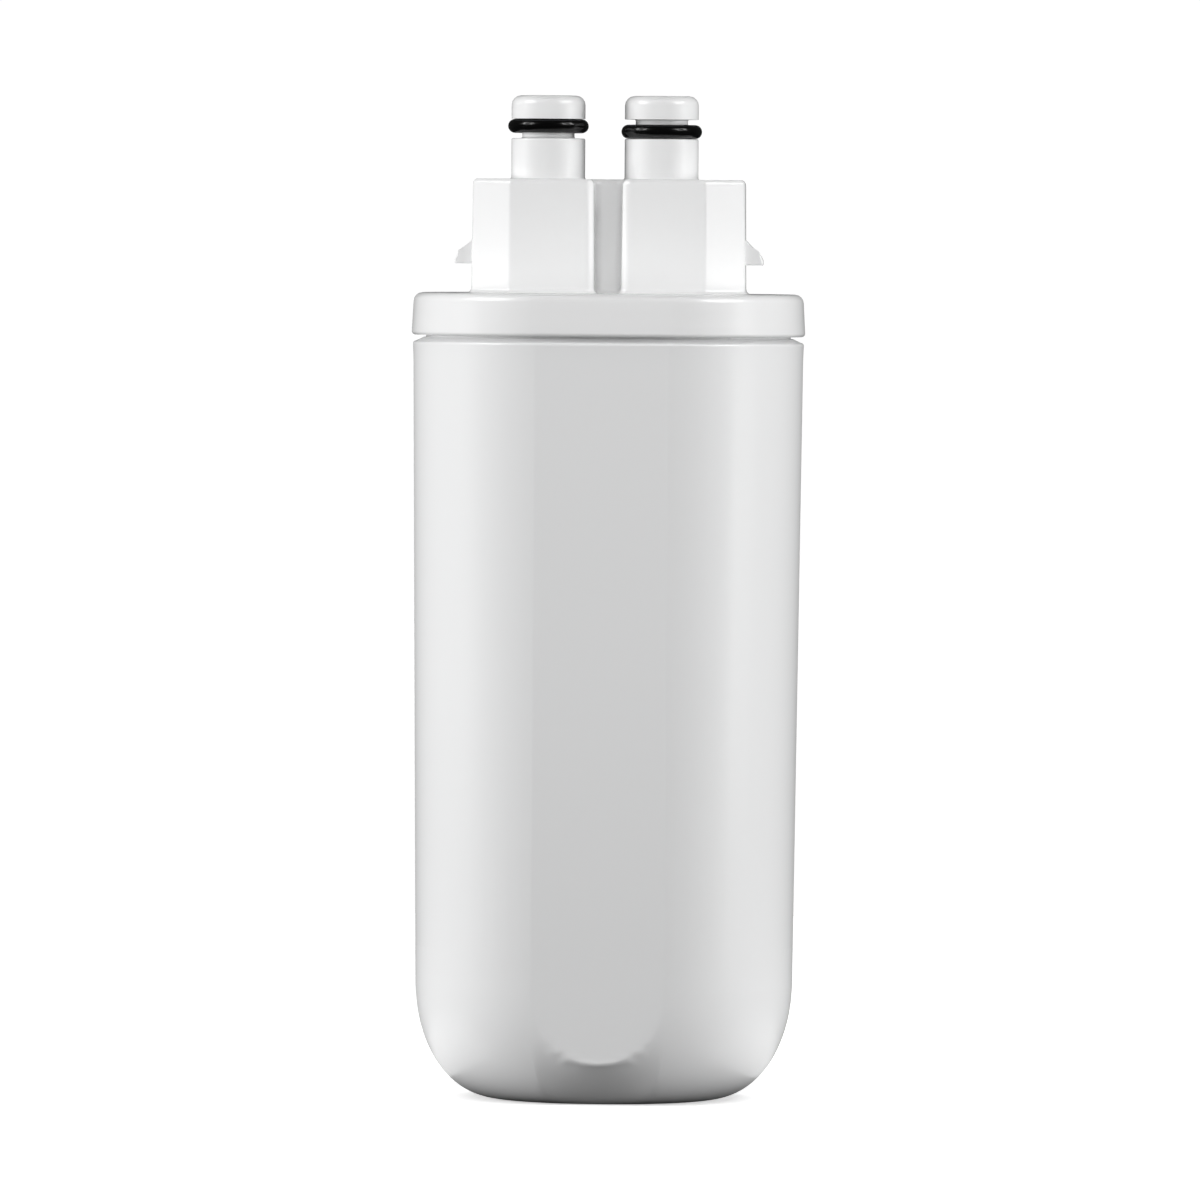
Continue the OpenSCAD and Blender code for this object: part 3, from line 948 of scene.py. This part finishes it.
def area_light(name: str, width: float, height: float, power: float) -> bpy.types.Object:
    """A rectangular light at the origin, facing down.

    Args:
        name: the light's name.
        width: its width, in metres.
        height: its height, in metres.
        power: its power, in watts.

    Returns:
        The light's object.
    """
    data = bpy.data.lights.new(name, "AREA")
    data.shape = "RECTANGLE"
    data.size, data.size_y = width, height
    data.energy = power
    made = bpy.data.objects.new(name, data)
    bpy.context.scene.collection.objects.link(made)
    return made


@dataclass(frozen=True)
class SoftBox:
    """A soft box that stands round the object and faces it.

    The azimuth is 0 in front of the object and grows towards its right. A box washes matt surfaces
    with light, or gleams in glossy ones.
    """

    name: str
    azimuth: float
    elevation: float
    distance: float
    width: float
    height: float
    power: float
    gleams: bool = False

    def build(self, aim: Point) -> bpy.types.Object:
        """Makes the light.

        Args:
            aim: the point that it faces.

        Returns:
            The light's object.
        """
        made = area_light(self.name, self.width, self.height, self.power)
        turn, lift = math.radians(self.azimuth), math.radians(self.elevation)
        away = Vector(
            (math.sin(turn) * math.cos(lift), -math.cos(turn) * math.cos(lift), math.sin(lift))
        )
        made.location = Vector(aim) + away * self.distance
        made.rotation_euler = away.to_track_quat("Z", "Y").to_euler()
        made.visible_diffuse, made.visible_glossy = not self.gleams, self.gleams
        return made


@dataclass(frozen=True)
class BounceCard:
    """A white card that lies on the floor and throws light up, unseen by the camera."""

    name: str
    across: float
    width: float = 0.06
    depth: float = 0.06
    lift: float = 0.8 * MILLIMETRE
    power: float = 0.008

    def build(self) -> bpy.types.Object:
        """Makes the light.

        Returns:
            The light's object.
        """
        made = area_light(self.name, self.width, self.depth, self.power)
        made.location = (self.across, 0.0, self.lift)
        made.rotation_euler = (math.pi, 0.0, 0.0)
        made.visible_camera = False
        return made


@dataclass(frozen=True)
class Studio:
    """The camera, the lights, the floor and the white surroundings."""

    eye: Point = (0.09, -2.238, 0.156)
    target: Point = (-0.0012, 0.0, 0.0896)
    view_angle: float = 5.52  # degrees
    lean: float = 0.42  # degrees
    nearest: float = 0.1
    farthest: float = 20.0
    floor_radius: float = 0.6
    floor_drop: float = 0.05 * MILLIMETRE
    floor_seen: float = 0.9  # how pale the floor is to the camera
    floor_glow: float = 0.55  # what the camera sees it give off
    floor_bounce: float = 0.03  # how pale it is to the light that falls on the object from it
    backdrop: float = 1.02  # the surroundings to the camera
    ambience: float = 0.092  # the surroundings to matt surfaces
    mirrored: float = 0.035  # the surroundings in glossy ones
    aim: Point = (0.0, 0.0, 0.09)
    lights: tuple[SoftBox, ...] = (
        SoftBox("side_wash_left", -77.0, 4.0, 0.92, 0.32, 0.4, 6.5),
        SoftBox("side_wash_right", 76.0, 4.0, 0.92, 0.32, 0.4, 4.1),
        SoftBox("side_low_right", 85.0, -3.0, 0.5, 0.3, 0.1, 0.25),
        SoftBox("side_high_left", -66.0, 37.0, 0.92, 0.3, 0.3, 0.9),
        SoftBox("side_high_right", 66.0, 37.0, 0.92, 0.3, 0.3, 1.6),
        SoftBox("gleam_left", -66.0, 37.0, 0.92, 0.42, 0.34, 5.6, gleams=True),
        SoftBox("gleam_right", 66.0, 37.0, 0.92, 0.42, 0.34, 5.4, gleams=True),
        SoftBox("front_low", 0.0, 13.0, 1.8, 1.2, 0.6, 8.7),
        SoftBox("front_high", 0.0, 50.0, 1.8, 1.2, 0.6, 4.7),
        SoftBox("back_fill", 180.0, 42.0, 1.8, 1.2, 0.6, 9.0),
    )
    cards: tuple[BounceCard, ...] = (
        BounceCard("card_left", -0.06),
        BounceCard("card_right", 0.06),
    )

    def camera(self) -> bpy.types.Object:
        """Stands the camera where the photograph was taken from.

        Returns:
            The camera's object.
        """
        data = bpy.data.cameras.new("camera")
        data.angle = math.radians(self.view_angle)
        data.clip_start, data.clip_end = self.nearest, self.farthest
        made = bpy.data.objects.new("camera", data)
        bpy.context.scene.collection.objects.link(made)
        made.location = self.eye
        look = (Vector(self.target) - Vector(self.eye)).to_track_quat("-Z", "Y")
        roll = Quaternion((0.0, 0.0, 1.0), math.radians(self.lean))
        made.rotation_euler = (look @ roll).to_euler()
        bpy.context.scene.camera = made
        return made

    def floor(self) -> bpy.types.Object:
        """Lays the white floor, which casts little light back on the object.

        Returns:
            The floor's object.
        """
        bpy.ops.mesh.primitive_circle_add(
            vertices=96,
            radius=self.floor_radius,
            fill_type="NGON",
            location=(0.0, 0.0, -self.floor_drop),
        )
        made = bpy.context.active_object
        made.name = "floor"
        material = bpy.data.materials.new("floor_paper")
        material.use_nodes = True
        bench = Bench(material.node_tree)
        seen = bench.node("LightPath").outputs["Is Camera Ray"]
        pale = bench.node("BsdfDiffuse", {"Color": grey(self.floor_seen)})
        glow = bench.node("Emission", {"Color": grey(1.0), "Strength": self.floor_glow})
        lit = bench.node("AddShader", {0: pale.outputs[0], 1: glow.outputs[0]})
        dull = bench.node("BsdfDiffuse", {"Color": grey(self.floor_bounce)})
        shown = bench.node("MixShader", {0: seen, 1: dull.outputs[0], 2: lit.outputs[0]})
        bench.node("OutputMaterial", {"Surface": shown.outputs[0]})
        made.data.materials.append(material)
        return made

    def surroundings(self) -> None:
        """White behind the object, and dim in what the object reflects."""
        world = bpy.data.worlds.new("surroundings")
        world.use_nodes = True
        bench = Bench(world.node_tree)
        path = bench.node("LightPath")
        seen, soft, dim = (
            bench.node("Background", {"Color": grey(1.0), "Strength": strength}).outputs[0]
            for strength in (self.backdrop, self.ambience, self.mirrored)
        )
        bounced = bench.node("MixShader", {0: path.outputs["Is Diffuse Ray"], 1: dim, 2: soft})
        both = bench.node(
            "MixShader", {0: path.outputs["Is Camera Ray"], 1: bounced.outputs[0], 2: seen}
        )
        bench.node("OutputWorld", {"Surface": both.outputs[0]})
        bpy.context.scene.world = world

    def build(self) -> list[bpy.types.Object]:
        """Sets up everything round the object.

        Returns:
            The camera, the floor and the lights.
        """
        bpy.context.scene.view_settings.view_transform = "Standard"
        bpy.context.scene.view_settings.look = "None"
        self.surroundings()
        lights = [light.build(self.aim) for light in self.lights]
        return [self.camera(), self.floor(), *lights, *(card.build() for card in self.cards)]


def main() -> None:
    """Builds the studio and the cartridge, in order."""
    logging.basicConfig(level=logging.INFO, format="%(name)s: %(message)s")
    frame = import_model()
    nodes = frame["nodes"]
    shelf = EffectShelf()

    pieces = Studio().build()
    pieces += [moulding.build(nodes, shelf) for moulding in (Cup(), Cap())]
    pieces += FilterElement().dress(nodes, shelf)
    for piece in pieces:
        LOG.info("%s is in place", piece.name)


if __name__ == "__main__":
    main()
